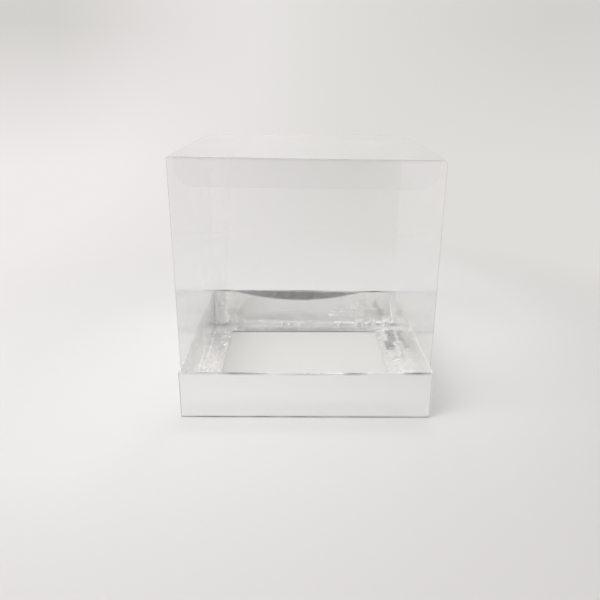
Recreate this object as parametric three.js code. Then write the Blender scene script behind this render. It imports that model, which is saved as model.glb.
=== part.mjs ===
// A clear folding gift box: a cover of clear film with a tuck-in lid stands in
// a shallow tray that is folded from silver-faced card.
//
// Units are millimetres. +Z is up and the front faces -Y. The origin is on the
// ground, under the middle of the tray.

import * as THREE from 'three';

// Tray, measured over its outside faces
const trayWidth = 150;
const trayDepth = 150;
const trayHeight = 30;
const card = 0.4;
const creaseRadius = 0.3;
const footDepth = 16;
const liningEndGap = 0.3;
const mitreGap = 0.3;

// Corner tabs, folded round from the ends of the front and back walls
const tabLength = 26;
const tabEdgeInset = 0.8;
const tabTaper = 4;
const tabRadius = 2.5;

// Cover of clear film
const coverHeight = 152.7;
const film = 0.3;
const playGap = 0.3;
const filmCornerRadius = 1.6;

// Seam flap, glued inside the back of the cover and cut wider at its head
const seamFootWidth = 7.5;
const seamHeadWidth = 19;
const seamEndInset = 2;
const seamRadius = 1.5;

// Tuck flap, which leans inward so that it swings clear of the front panel
const tuckDepth = 15;
const tuckLean = 0.9;
const tuckSideInset = 3.5;
const tuckTaper = 1.5;
const tuckRadius = 9;

// Dust flaps, whose shoulders clear the tuck in front and the lid behind
const dustDepth = 35;
const dustEndInset = 2;
const dustShoulder = 20;
const dustRadius = 6;

// The front and back walls are two layers of card, and the side walls have the
// corner tabs as a third layer between them.
const endWallLayers = 2;
const sideWallLayers = 3;

const quarterTurn = Math.PI / 2;

const silverCard = { color: 0xe2e0de, roughness: 0.2, metalness: 0.9 };
const whiteCard = { color: 0xf0efec, roughness: 0.7, metalness: 0 };
const clearFilm = { color: 0xe8eef0, roughness: 0.06, metalness: 0, transparent: true, opacity: 0.25 };

// A closed outline through corners of [x, y, radius], with each radius rounded.
function roundedShape(corners) {
  const shape = new THREE.Shape();
  corners.forEach(([x, y, radius = 0], index) => {
    const corner = new THREE.Vector2(x, y);
    const toPrevious = new THREE.Vector2(...corners.at(index - 1)).sub(corner).normalize();
    const toNext = new THREE.Vector2(...corners[(index + 1) % corners.length]).sub(corner).normalize();
    const cut = radius / Math.tan(toPrevious.angleTo(toNext) / 2);
    const start = corner.clone().addScaledVector(toPrevious, cut);
    if (index === 0) {
      shape.moveTo(start.x, start.y);
    } else {
      shape.lineTo(start.x, start.y);
    }
    if (radius > 0) {
      const end = corner.clone().addScaledVector(toNext, cut);
      shape.quadraticCurveTo(x, y, end.x, end.y);
    }
  });
  return shape;
}

// A sheet that lies flat, from z = 0 up to its thickness.
function flatSheet(corners, thickness) {
  const settings = { depth: thickness, bevelEnabled: false, curveSegments: 8 };
  return new THREE.ExtrudeGeometry(roundedShape(corners), settings);
}

// A sheet that stands up: the outline's y becomes its height, and its thickness
// grows inward, along +Y, from an outer face at y = 0.
function standingSheet(corners, thickness) {
  return flatSheet(corners, thickness).rotateX(quarterTurn).translate(0, thickness, 0);
}

// A strip along x with the section drawn as [inward, up, radius], centred on x = 0.
function foldedStrip(section, length) {
  const inward = new THREE.Vector3(0, 1, 0);
  const up = new THREE.Vector3(0, 0, 1);
  const along = new THREE.Vector3(1, 0, 0);
  const turned = new THREE.Matrix4().makeBasis(inward, up, along);
  return flatSheet(section, length).applyMatrix4(turned).translate(-length / 2, 0, 0);
}

function addPiece(parent, name, geometry, finish, position = [0, 0, 0]) {
  const mesh = new THREE.Mesh(geometry, new THREE.MeshStandardMaterial(finish));
  mesh.name = name;
  mesh.position.set(...position);
  parent.add(mesh);
  return mesh;
}

// A frame for one side of a square box: x runs along the wall, y goes inward
// from the wall's outer face, and z is up.
function sideFrame(parent, turn, reach) {
  const turned = new THREE.Group();
  turned.rotation.z = turn;
  const frame = new THREE.Group();
  frame.position.y = -reach;
  turned.add(frame);
  parent.add(turned);
  return frame;
}

const endWallThickness = endWallLayers * card;
const sideWallThickness = sideWallLayers * card;

// Each side of the tray. outerHalf is half the length of its outer wall,
// rimHalf of its rim, liningHalf of its lining and cornerHalf the distance from
// its middle to the inside corner where the foot flaps meet.
const endSide = {
  reach: trayDepth / 2,
  layers: endWallLayers,
  outerHalf: trayWidth / 2,
  rimHalf: trayWidth / 2,
  liningHalf: trayWidth / 2 - sideWallThickness - liningEndGap,
  cornerHalf: trayWidth / 2 - sideWallThickness,
};
const flankSide = {
  reach: trayWidth / 2,
  layers: sideWallLayers,
  outerHalf: trayDepth / 2 - card,
  rimHalf: trayDepth / 2 - endWallThickness,
  liningHalf: trayDepth / 2 - card,
  cornerHalf: trayDepth / 2 - endWallThickness,
};
const traySides = [
  { name: 'front', turn: 0, ...endSide, tabs: [] },
  { name: 'right', turn: quarterTurn, ...flankSide, tabs: ['front_right', 'back_right'] },
  { name: 'back', turn: 2 * quarterTurn, ...endSide, tabs: [] },
  { name: 'left', turn: -quarterTurn, ...flankSide, tabs: ['back_left', 'front_left'] },
];

function makeTrayFloor(tray) {
  const halfWidth = trayWidth / 2 - card;
  const halfDepth = trayDepth / 2 - card;
  const corners = [
    [-halfWidth, -halfDepth],
    [halfWidth, -halfDepth],
    [halfWidth, halfDepth],
    [-halfWidth, halfDepth],
  ];
  addPiece(tray, 'tray_floor', flatSheet(corners, card), whiteCard);
}

// The outer wall, with its lower edge rounded by the crease to the floor.
function makeOuterWall(frame, side) {
  const top = trayHeight - card;
  const section = [
    [0, 0, creaseRadius],
    [card, 0],
    [card, top],
    [0, top],
  ];
  addPiece(frame, `tray_${side.name}_wall`, foldedStrip(section, 2 * side.outerHalf), silverCard);
}

// The narrow strip between the two creases over which the wall is rolled.
function makeRim(frame, side) {
  const width = side.layers * card;
  const section = [
    [0, 0],
    [width, 0],
    [width, card, creaseRadius],
    [0, card, creaseRadius],
  ];
  const place = [0, 0, trayHeight - card];
  addPiece(frame, `tray_${side.name}_rim`, foldedStrip(section, 2 * side.rimHalf), silverCard, place);
}

// The inside layer, which comes down from the rim to the floor.
function makeLining(frame, side) {
  const corners = [
    [-side.liningHalf, card],
    [side.liningHalf, card],
    [side.liningHalf, trayHeight - card],
    [-side.liningHalf, trayHeight - card],
  ];
  const place = [0, (side.layers - 1) * card, 0];
  addPiece(frame, `tray_${side.name}_lining`, standingSheet(corners, card), silverCard, place);
}

// The foot flap, which locks the lining: it lies on the floor, mitred at 45
// degrees against its neighbours.
function makeFoot(frame, side) {
  const outerHalf = side.cornerHalf - mitreGap * Math.SQRT1_2;
  const innerHalf = outerHalf - footDepth;
  const corners = [
    [-outerHalf, 0],
    [outerHalf, 0],
    [innerHalf, footDepth],
    [-innerHalf, footDepth],
  ];
  const place = [0, side.layers * card, card];
  addPiece(frame, `tray_${side.name}_foot`, flatSheet(corners, card), silverCard, place);
}

// The corner tabs stand between a side wall and its lining, one at each end.
function makeTabs(frame, side) {
  const root = side.outerHalf;
  const tip = root - tabLength;
  const bottom = card + tabEdgeInset;
  const top = trayHeight - card - tabEdgeInset;
  side.tabs.forEach((corner, index) => {
    const end = index === 0 ? -1 : 1;
    const corners = [
      [end * root, bottom],
      [end * root, top],
      [end * tip, top - tabTaper, tabRadius],
      [end * tip, bottom + tabTaper, tabRadius],
    ];
    addPiece(frame, `tray_${corner}_tab`, standingSheet(corners, card), silverCard, [0, card, 0]);
  });
}

function makeTray() {
  const tray = new THREE.Group();
  makeTrayFloor(tray);
  for (const side of traySides) {
    const frame = sideFrame(tray, side.turn, side.reach);
    makeOuterWall(frame, side);
    makeRim(frame, side);
    makeLining(frame, side);
    makeFoot(frame, side);
    makeTabs(frame, side);
  }
  return tray;
}

// The cover stands on the foot flaps, inside the linings. Heights from here on
// are measured from its lower edge.
const coverHalfWidth = trayWidth / 2 - sideWallThickness - playGap;
const coverHalfDepth = trayDepth / 2 - endWallThickness - playGap;
const coverFoot = 2 * card + playGap;
const lidUnderside = coverHeight - film;
const wallTop = lidUnderside - playGap;
const lidFrontEdge = -coverHalfDepth + film + playGap;

// The front panel spans both corners and rises to the underside of the lid,
// which closes behind it.
function makeFrontPanel(cover) {
  const frame = sideFrame(cover, 0, coverHalfDepth);
  const corners = [
    [-coverHalfWidth, 0],
    [coverHalfWidth, 0],
    [coverHalfWidth, lidUnderside, filmCornerRadius],
    [-coverHalfWidth, lidUnderside, filmCornerRadius],
  ];
  addPiece(frame, 'cover_front', standingSheet(corners, film), clearFilm);
}

function makeBackPanel(cover) {
  const frame = sideFrame(cover, 2 * quarterTurn, coverHalfDepth);
  const corners = [
    [-coverHalfWidth, 0],
    [coverHalfWidth, 0],
    [coverHalfWidth, wallTop],
    [-coverHalfWidth, wallTop],
  ];
  addPiece(frame, 'cover_back', standingSheet(corners, film), clearFilm);
}

function makeSidePanel(cover, name, turn) {
  const frame = sideFrame(cover, turn, coverHalfWidth);
  const half = coverHalfDepth - film;
  const corners = [
    [-half, 0],
    [half, 0],
    [half, wallTop],
    [-half, wallTop],
  ];
  addPiece(frame, name, standingSheet(corners, film), clearFilm);
}

// The seam flap turns in from the left panel and is glued to the back panel.
// In the back panel's frame the left side of the box is at +x.
function makeSeamFlap(cover) {
  const frame = sideFrame(cover, 2 * quarterTurn, coverHalfDepth);
  const crease = coverHalfWidth - film;
  const corners = [
    [crease, seamEndInset],
    [crease, wallTop - seamEndInset],
    [crease - seamHeadWidth, wallTop - seamEndInset, seamRadius],
    [crease - seamFootWidth, seamEndInset, seamRadius],
  ];
  addPiece(frame, 'cover_seam_flap', standingSheet(corners, film), clearFilm, [0, film, 0]);
}

// The lid hangs on the crease along the top of the back panel.
function makeLid(cover) {
  const corners = [
    [-coverHalfWidth, lidFrontEdge, filmCornerRadius],
    [coverHalfWidth, lidFrontEdge, filmCornerRadius],
    [coverHalfWidth, coverHalfDepth],
    [-coverHalfWidth, coverHalfDepth],
  ];
  addPiece(cover, 'lid', flatSheet(corners, film), clearFilm, [0, 0, lidUnderside]);
}

// The tuck flap turns down from the lid's front edge, behind the front panel.
function makeTuckFlap(cover) {
  const frame = new THREE.Group();
  frame.position.set(0, lidFrontEdge + film, lidUnderside - playGap);
  frame.rotation.x = Math.atan2(tuckLean, tuckDepth);
  cover.add(frame);
  const headHalf = coverHalfWidth - tuckSideInset;
  const tipHalf = headHalf - tuckTaper;
  const corners = [
    [-headHalf, 0],
    [-tipHalf, -tuckDepth, tuckRadius],
    [tipHalf, -tuckDepth, tuckRadius],
    [headHalf, 0],
  ];
  addPiece(frame, 'tuck_flap', standingSheet(corners, film), clearFilm, [0, -film, 0]);
}

// A dust flap turns in from the top of a side panel and lies under the lid.
function makeDustFlap(cover, name, turn) {
  const frame = sideFrame(cover, turn, coverHalfWidth - film - playGap);
  const creaseHalf = coverHalfDepth - film - dustEndInset;
  const tipHalf = creaseHalf - dustShoulder;
  const corners = [
    [-creaseHalf, 0],
    [creaseHalf, 0],
    [tipHalf, dustShoulder],
    [tipHalf, dustDepth, dustRadius],
    [-tipHalf, dustDepth, dustRadius],
    [-tipHalf, dustShoulder],
  ];
  addPiece(frame, name, flatSheet(corners, film), clearFilm, [0, 0, wallTop - film]);
}

function makeCover() {
  const cover = new THREE.Group();
  cover.position.z = coverFoot;
  makeFrontPanel(cover);
  makeBackPanel(cover);
  makeSidePanel(cover, 'cover_right', quarterTurn);
  makeSidePanel(cover, 'cover_left', -quarterTurn);
  makeSeamFlap(cover);
  makeLid(cover);
  makeTuckFlap(cover);
  makeDustFlap(cover, 'dust_flap_right', quarterTurn);
  makeDustFlap(cover, 'dust_flap_left', -quarterTurn);
  return cover;
}

const clearBox = new THREE.Group();
clearBox.add(makeTray());
clearBox.add(makeCover());

export default clearBox;
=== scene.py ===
"""Looks of a clear folding gift box: a cover of clear film in a tray of silver-faced card.

Everything is in metres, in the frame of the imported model: +Z up, the front towards -Y.
Sheets are built on their middle surface and then given their thickness.
"""

import math

import bmesh
import bpy
from mathutils import Matrix, Vector


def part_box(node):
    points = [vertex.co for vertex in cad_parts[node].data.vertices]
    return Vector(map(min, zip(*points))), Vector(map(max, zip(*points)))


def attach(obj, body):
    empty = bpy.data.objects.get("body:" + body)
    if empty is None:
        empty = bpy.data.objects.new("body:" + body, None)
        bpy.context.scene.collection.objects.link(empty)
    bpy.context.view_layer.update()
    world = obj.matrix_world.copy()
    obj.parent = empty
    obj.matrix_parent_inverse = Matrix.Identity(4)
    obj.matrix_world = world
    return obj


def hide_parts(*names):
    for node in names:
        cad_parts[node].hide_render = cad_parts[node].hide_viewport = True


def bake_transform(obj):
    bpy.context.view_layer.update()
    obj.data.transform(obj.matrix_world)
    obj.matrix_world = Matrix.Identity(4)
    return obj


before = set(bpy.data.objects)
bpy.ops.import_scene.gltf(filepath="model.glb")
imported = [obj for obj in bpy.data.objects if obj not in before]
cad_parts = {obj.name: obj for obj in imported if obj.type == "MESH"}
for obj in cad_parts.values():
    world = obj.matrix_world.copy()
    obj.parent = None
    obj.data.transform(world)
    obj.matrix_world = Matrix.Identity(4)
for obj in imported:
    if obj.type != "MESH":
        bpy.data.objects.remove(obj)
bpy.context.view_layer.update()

bl_info = {
    "name": "Clear gift box",
    "version": (1, 0, 0),
    "blender": (4, 5, 0),
    "location": "View3D > Sidebar > Gift box",
    "description": "Builds the folded tray, the film cover and the stage of a clear gift box",
    "category": "Add Mesh",
}

MM = 0.001

# How far each side of the tray is turned from the front one
TURNS = {
    "front": 0.0,
    "right": math.pi / 2,
    "back": math.pi,
    "left": -math.pi / 2,
}

# How much of the rim sag each side has
RIM_SAG_SHARE = {"front": 1.0, "right": 0.3, "left": 0.3}

# How much more the middle of a foot flap springs up than its ends
FOOT_LIFT_MORE = {"back": 1.5}

# Dents in the linings, as [along, height, radius, depth] in each side's own frame, in mm
LINING_DENTS = {
    "front": [(-20, 16, 9, 0.25), (34, 12, 7, -0.2)],
    "right": [(2, 24, 5, 0.5), (-13, 16, 6, -0.45), (24, 9, 7, 0.4), (48, 15, 8, 0.35)],
    "back": [(66, 18, 5, 0.6), (-45, 19, 7, 0.3), (-60, 25, 6, 0.35), (28, 9, 9, 0.2)],
    "left": [(-18, 22, 4.5, 0.5), (-23, 9, 6, -0.5), (-52, 16, 8, 0.4), (20, 12, 9, 0.3)],
}

# Where the foil is crumpled, as [along, run, radius, share], in mm. The run is measured from
# the fold at the foot of the lining, up the lining or, below 0, along the foot flap
FOIL_CRUMPLES = {
    "front": [(-60, 0, 4, 0.6), (40, 0, 5, 0.6)],
    "right": [(1, 24, 4, 0.9), (8, 14, 5, 1.0), (22, 0, 3, 1.0), (28, -6, 3, 1.0),
              (52, -3, 6, 0.8), (5, -7, 3, 0.9), (-40, 3, 6, 0.6)],
    "back": [(62, 1, 4, 1.0), (54, 1, 4, 1.0), (-46, 1, 4, 1.0), (-56, 1, 5, 1.0),
             (-68, 1, 5, 1.0), (-24, 10, 3, 0.6), (-32, 14, 3, 0.6), (-40, 17, 3, 0.6),
             (69, 18, 3, 0.9)],
    "left": [(-20, 4, 7, 1.0), (-17, 22, 3, 0.9), (-44, 22, 4, 1.0), (-50, -12, 5, 1.0),
             (-36, -13, 4, 1.0), (-30, 0, 6, 0.9), (30, 4, 6, 0.6)],
}

# Where a painted shadow line runs along a rim, as [along, half length, share], in mm
RIM_SHADOW_LINES = {
    "front": [(-62, 14, 0.4), (-38, 16, 1.0), (0, 18, 0.35), (29, 8, 1.0), (66, 9, 1.0)],
    "back": [(66, 12, 0.9), (0, 64, 0.8), (-55, 20, 1.0)],
}

# Where the foil is painted darker, as shade, and made rougher, as [along, run, half length, half
# width, share], in mm
SHADED_ROUGH_PATCHES = {
    "right": [(50, -5, 12, 4, 0.6), (31, -8.5, 9, 4, 0.6)],
    "back": [(0, 8, 64, 26, 0.07), (0, -10, 56, 7, 0.3), (-57, 8, 9, 7, 0.2), (56, 8, 8, 8, 0.16)],
}

# How satiny the film of the cover has rubbed the lining and foot flap of each side
SATIN_SHARE = {"front": 1.0, "right": 0.8, "left": 0.8}

# The card where foil has worn off and shows, and the painted shadow of the dark lines along the
# bottom fold and the rim
PAPER_UNDER_FOIL = (0.86, 0.85, 0.83, 1.0)
PAINTED_SHADOW = (0.04, 0.039, 0.038, 1.0)

# How deep the finest forms of each surface are
CRUMPLE_DEPTH = 6 * MM
PEEL_DEPTH = 0.12 * MM
GRAIN_DEPTH = 0.04 * MM
CARD_GRAIN_DEPTH = 0.06 * MM
FILM_WAVE_DEPTH = 0.4 * MM
FLOOR_GRAIN_DEPTH = 0.1 * MM

# How far the painted shadow lines reach from the bottom fold and from the top of the rim, and fade
# out
BOTTOM_SHADOW_REACH = 0.6 * MM
BOTTOM_SHADOW_FADE = 0.4 * MM
RIM_SHADOW_REACH = 0.85 * MM
RIM_SHADOW_FADE = 0.25 * MM

# How far from the fold at the foot of a lining the crinkles reach, up it and along the flap
CRINKLES_UP = 2.6 * MM
CRINKLES_INWARD = 3 * MM

# How softly the slope bends back, a dent starts below the rim and a flap leaves its crease
SLOPE_BEND = 0.6 * MM
DENT_EASE = 4 * MM
FLAP_EASE = 20 * MM

# How close to a fold the first points of a flat stretch lie
FOLD_MARGIN = 0.2 * MM
WALL_MARGIN = 0.3 * MM

# Steps between the points of the sheets
CARD_STEP = 1 * MM
WALL_STEP = 1.2 * MM
FLOOR_STEP = 2.5 * MM
FLAP_STEP = 1 * MM
TAB_STEP = 1.5 * MM
LID_STEP = 4 * MM
SLEEVE_STEP = 3 * MM
SIDE_COLUMNS = 240
SLEEVE_ROWS = 60
SAME_PLACE = 0.01 * MM

# Cut shapes of the flaps that their boxes don't tell
SEAM_FOOT = 7.4 * MM
TUCK_FOLD = 0.5 * MM
TUCK_TAPER = 1.5 * MM
TUCK_ROUNDING = 9 * MM
DUST_SHOULDER = 20 * MM
DUST_ROUNDING = 6 * MM
LID_ROUNDING = 1.2 * MM
TAB_FOLD = 0.12 * MM
TAB_TAPER = 4 * MM
TAB_ROUNDING = 2.5 * MM

# The middle of the pool of light painted on the floor
FLOOR_POOL = (-0.07, 0.115, 0.0)

# Where the tones of the floor and backdrop start and end, in metres, with the painted light and
# shade of both
# Painted light: the floor is painted brighter beside the tray and in the pool
NEAR_EDGE = (0.06, 0.2)
POOL_EDGE = (0.12, 0.4)
GLOW_EDGE = (0.2, 0.42)
# Painted light: the backdrop is painted lighter on the left
LEFT_TO_RIGHT = (-0.35, 0.1)
# Painted shade: the backdrop's upper corners are painted darker
CORNERS_OUT = (0.1, 0.5)
CORNERS_UP = (0.05, 0.3)
# Painted reflection of a bright wall in front, which only mirrors see
FRONT_WALL = (-0.75, -0.35)
FRONT_RIGHT = (-0.05, 0.12)
# Painted shade of the dim room in front, which only mirrors see
DIM_TOP = (0.28, 0.5)
DIM_SIDES = (0.15, 0.27)
# Painted reflections: windows that glow on the backdrop, which only mirrors see
WINDOW_SIDES = (0.55, 0.65)
WINDOW_BEHIND = (0.1, 0.2)
WINDOW_SILL = (0.1, 0.2)
WINDOW_HEAD = (0.6, 0.7)

# The paper bowl of the stage, and its lamps, in metres
BOWL_RADIUS = 0.62
BOWL_SWEEP = 0.5
BOWL_HEIGHT = 1.5
BOWL_TURNS = 96
LAMP_AIM = (0.0, 0.0, 0.03)
KEY_PLACE = (-0.62, -0.48, 0.68)
KEY_SIZE = 0.8
CEILING_PLACE = (0.05, 0.5, 1.0)
CEILING_SIZE = 0.26

# The camera that the photograph was taken with: metres, degrees and millimetres of film
CAMERA_PLACE = (-0.00372, -0.39795, 0.19004)
CAMERA_PITCH = 19.57
CAMERA_YAW = 0.05
CAMERA_ROLL = 0.19
CAMERA_LENS = 36.57
CAMERA_FILM = 36.0

# How often light passes film or is mirrored before it is dropped
LIGHT_PATHS = {"transparent_max_bounces": 48, "glossy_bounces": 16, "max_bounces": 24}


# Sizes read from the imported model

def low(node):
    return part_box(node)[0]


def high(node):
    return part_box(node)[1]


CARD = high("tray_floor").z - low("tray_floor").z
FILM = high("lid").z - low("lid").z
TRAY_HEIGHT = high("tray_front_rim").z
COVER_FOOT = low("cover_front").z
COVER_TOP = high("lid").z
DUST_LEVEL = high("dust_flap_left").z - FILM / 2
FRONT_TOP = high("cover_front").z

# The level at which the foot flaps lie, on the floor of the tray
LEDGE = CARD * 1.5

# Where the middle of the film stands
HALF_WIDTH = high("cover_right").x - FILM / 2
HALF_DEPTH = high("cover_back").y - FILM / 2
LID_LEVEL = COVER_TOP - FILM / 2
LID_FRONT = low("lid").y + FILM


def side_sizes(name):
    """The sizes of one side of the tray, along its wall and inward from its outer face."""
    across = 0 if name in ("front", "back") else 1
    away = 1 - across
    front = across == 0

    def half(part):
        return high(f"tray_{name}_{part}")[across]

    def nearest(part):
        return min(abs(corner[away]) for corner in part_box(f"tray_{name}_{part}"))

    reach = max(abs(corner[away]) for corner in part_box(f"tray_{name}_wall"))
    return {
        "reach": reach,
        "wall_half": high("tray_front_wall").x if front else -low("tray_front_wall").y,
        "rim_half": half("rim") - (CARD if front else 0.0),
        "lining_half": half("lining"),
        "foot_half": half("foot"),
        "rim_depth": reach - nearest("rim"),
        "foot_depth": reach - nearest("foot"),
    }


# What a user may change

def length_setting(name, description, default, least=0.0):
    return bpy.props.FloatProperty(
        name=name, description=description, default=default, min=least, unit="LENGTH")


def number_setting(name, description, default, subtype="NONE"):
    return bpy.props.FloatProperty(
        name=name, description=description, default=default, min=0.0, subtype=subtype)


def colour_setting(name, description, default):
    return bpy.props.FloatVectorProperty(
        name=name, description=description, default=default + (1.0,), min=0.0, max=1.0,
        subtype="COLOR", size=4)


class TraySettings(bpy.types.PropertyGroup):
    """Sizes of the folded tray that its flat construction leaves open."""

    card_thickness: length_setting(
        "Card thickness", "Thickness of the card, a little less than the room of one layer",
        CARD - 0.04 * MM)
    fold_radius: length_setting(
        "Fold radius", "Radius of the middle of the card where it is folded", 0.4 * MM)
    rim_sag: length_setting("Rim sag", "How far the middle of each rim has sunk", 0.55 * MM)
    rim_lift: length_setting(
        "Rim lift", "How far the left half of the back rim has sprung up", 0.8 * MM)
    slope_angle: number_setting(
        "Slope angle", "How steeply, in degrees, the back lining slopes inward below its rim",
        14.5)
    slope_depth: length_setting(
        "Slope depth", "How far below the back rim the slope ends, at its deepest", 8 * MM)
    slope_half: length_setting(
        "Slope half length", "Half the length of the sloped part of the back lining", 56 * MM)
    slope_middle: length_setting(
        "Slope middle", "Where the slope is deepest, to the left of the middle of the back wall",
        5 * MM, -50 * MM)
    foot_lift: length_setting(
        "Foot lift", "How far the free edge of each foot flap springs up from the floor",
        0.45 * MM)
    crinkle_depth: length_setting(
        "Crinkle depth", "Depth of the crinkles along the folds", 0.8 * MM)
    crinkle_size: length_setting("Crinkle size", "Width of one crinkle", 4 * MM, 0.5 * MM)
    wave_depth: length_setting(
        "Wave depth",
        "Depth of the broad waves in the linings, and at a lesser share in the walls", 0.38 * MM)
    wave_size: length_setting(
        "Wave size", "Width of one broad wave in the flat card", 20 * MM, 2 * MM)


class CoverSettings(bpy.types.PropertyGroup):
    """Sizes of the film cover that its flat construction leaves open."""

    film_thickness: length_setting(
        "Film thickness", "Thickness of the film, a little less than the room of one layer",
        FILM - 0.05 * MM)
    corner_radius: length_setting(
        "Corner radius", "Radius of the film at the four upright folds", 0.3 * MM, 0.2 * MM)
    front_drop: length_setting(
        "Front drop", "How far the right front corner of the top has sunk below the left one",
        1.6 * MM)
    front_spread: length_setting(
        "Front spread", "How far the front corners stand outward at the top", 0.45 * MM)
    ripple_depth: length_setting(
        "Ripple depth", "Depth of the slow ripples in the film", 0.22 * MM)
    ripple_size: length_setting("Ripple size", "Width of one ripple in the film", 48 * MM, 5 * MM)


class FinishSettings(bpy.types.PropertyGroup):
    """Colours and gloss of the card and the film."""

    foil_colour: colour_setting(
        "Foil colour", "Colour of the silver face of the card", (0.96, 0.957, 0.952))
    card_colour: colour_setting(
        "Card colour", "Colour of the white face of the card", (0.87, 0.865, 0.84))
    film_tint: colour_setting(
        "Film tint", "What one face of the film lets through", (0.993, 0.993, 0.993))
    film_gloss: number_setting(
        "Film gloss", "Share of light that one face of the film mirrors head on", 0.02, "FACTOR")
    fold_shade: colour_setting(
        "Fold shade", "What one face of the film lets through along a fold", (0.9, 0.895, 0.89))


class StageSettings(bpy.types.PropertyGroup):
    """The plain floor, its light and the camera."""

    # Painted light: the floor is painted this brighter colour beside the tray and in the pool of
    # light
    painted_light_colour: colour_setting(
        "Near colour", "Colour of the floor beside the tray", (0.912, 0.905, 0.9))
    paper_colour: colour_setting(
        "Paper colour", "Colour of the floor a step further off", (0.69, 0.677, 0.668))
    # Painted light: the backdrop is painted lighter on the left and darker on the right
    left_tone: colour_setting(
        "Left tone", "Tone of the backdrop on the left, nearer the lamp", (0.86, 0.835, 0.83))
    right_tone: colour_setting(
        "Right tone", "Tone of the backdrop on the right", (0.735, 0.72, 0.695))
    # Painted shade in the backdrop's upper corners
    corner_tone: colour_setting(
        "Corner tone", "Tone of the backdrop in its upper corners", (0.655, 0.64, 0.615))
    # Painted reflection of a bright wall, seen only in mirrors
    front_tone: colour_setting(
        "Front tone",
        "Tone of the backdrop behind the camera on the right, which only mirrors see",
        (1.0, 0.99, 0.975))
    # Painted shade, seen only in mirrors
    dim_colour: colour_setting(
        "Dim colour", "Colour of the unlit side of the room, which only mirrors see",
        (0.1, 0.094, 0.09))
    lamp_power: number_setting(
        "Lamp power", "Power of the large soft lamp on the left", 3.4, "POWER")
    ceiling_power: number_setting(
        "Ceiling power", "Power of the lamp overhead, which crumpled foil mirrors as flecks",
        1.2, "POWER")
    # Painted reflections: windows that glow on the backdrop, seen only in mirrors
    painted_window_strength: number_setting(
        "Window strength", "How bright the windows are, which only mirrors see", 8.0)
    sky_strength: number_setting("Sky strength", "Strength of the even light from above", 0.78)


# Small shared tools

def smooth_step(value):
    held = min(max(value, 0.0), 1.0)
    return held * held * (3 - 2 * held)


def bell(share):
    """1 in the middle of a side, and 0 at its ends, where share is -1 and 1."""
    held = min(abs(share), 1.0)
    return (1 - held * held) ** 2


def spaced(start, end, step):
    """Values from start to end, evenly spaced and no further apart than step."""
    count = max(1, math.ceil(abs(end - start) / step - 1e-9))
    return [start + (end - start) * index / count for index in range(count + 1)]


def fading(away):
    """1 where away is 0, and less and less past that."""
    return math.exp(-away * away)


def arc(centre, radius, first, last, steps=5):
    """Points of an arc about centre, between two angles in degrees."""
    angles = [math.radians(first + (last - first) * index / steps) for index in range(steps + 1)]
    return [(centre[0] + radius * math.cos(angle), centre[1] + radius * math.sin(angle))
            for angle in angles]


def between(start, end, share):
    return tuple(a + (b - a) * share for a, b in zip(start, end))


def straight(start, end, step):
    """Points between two points, without the ends."""
    count = max(1, math.ceil(math.dist(start, end) / step))
    return [between(start, end, index / count) for index in range(1, count)]


def inset_run(start, end, step, margin):
    """Points between two points, the first and the last only a margin away from them."""
    share = margin / math.dist(start, end)
    first = between(start, end, share)
    last = between(end, start, share)
    return [first] + straight(first, last, step) + [last]


def grid_object(name, rows, shares):
    """A sheet through rows of points. shares holds, for each attribute, one value a point."""
    width = len(rows[0])
    points = [point for row in rows for point in row]
    faces = []
    for row in range(len(rows) - 1):
        for column in range(width - 1):
            corner = row * width + column
            faces.append((corner, corner + 1, corner + width + 1, corner + width))
    mesh = bpy.data.meshes.new(name)
    mesh.from_pydata(points, [], faces)
    for attribute, values in shares.items():
        mesh.attributes.new(attribute, "FLOAT", "POINT").data.foreach_set("value", values)
    made = bpy.data.objects.new(name, mesh)
    bpy.context.scene.collection.objects.link(made)
    return made


def reshape(made, change):
    """Makes one change to the mesh of an object."""
    shape = bmesh.new()
    shape.from_mesh(made.data)
    change(shape)
    shape.to_mesh(made.data)
    shape.free()


def merge_doubles(made):
    """Joins the points of a sheet that lie on each other."""
    reshape(made, lambda shape: bmesh.ops.remove_doubles(
        shape, verts=shape.verts, dist=SAME_PLACE))


def apply_modifiers(made):
    """Turns an object and its modifiers into a plain mesh."""
    graph = bpy.context.evaluated_depsgraph_get()
    mesh = bpy.data.meshes.new_from_object(
        made.evaluated_get(graph), preserve_all_data_layers=True, depsgraph=graph)
    made.modifiers.clear()
    old = made.data
    made.data = mesh
    bpy.data.meshes.remove(old)
    mesh.name = made.name


def give_thickness(made, thickness, back, edge):
    """Gives a sheet its thickness, with one material on its back and one on its cut edges."""
    made.data.materials.append(back)
    made.data.materials.append(edge)
    solid = made.modifiers.new("Thickness", "SOLIDIFY")
    solid.thickness = thickness
    solid.offset = 0.0
    solid.material_offset = 1
    solid.material_offset_rim = 2
    apply_modifiers(made)
    reshape(made, lambda shape: bmesh.ops.recalc_face_normals(shape, faces=shape.faces))
    made.data.shade_smooth()
    made.data.set_sharp_from_angle(angle=math.radians(50))


# Waves in a sheet, with Geometry Nodes

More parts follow.
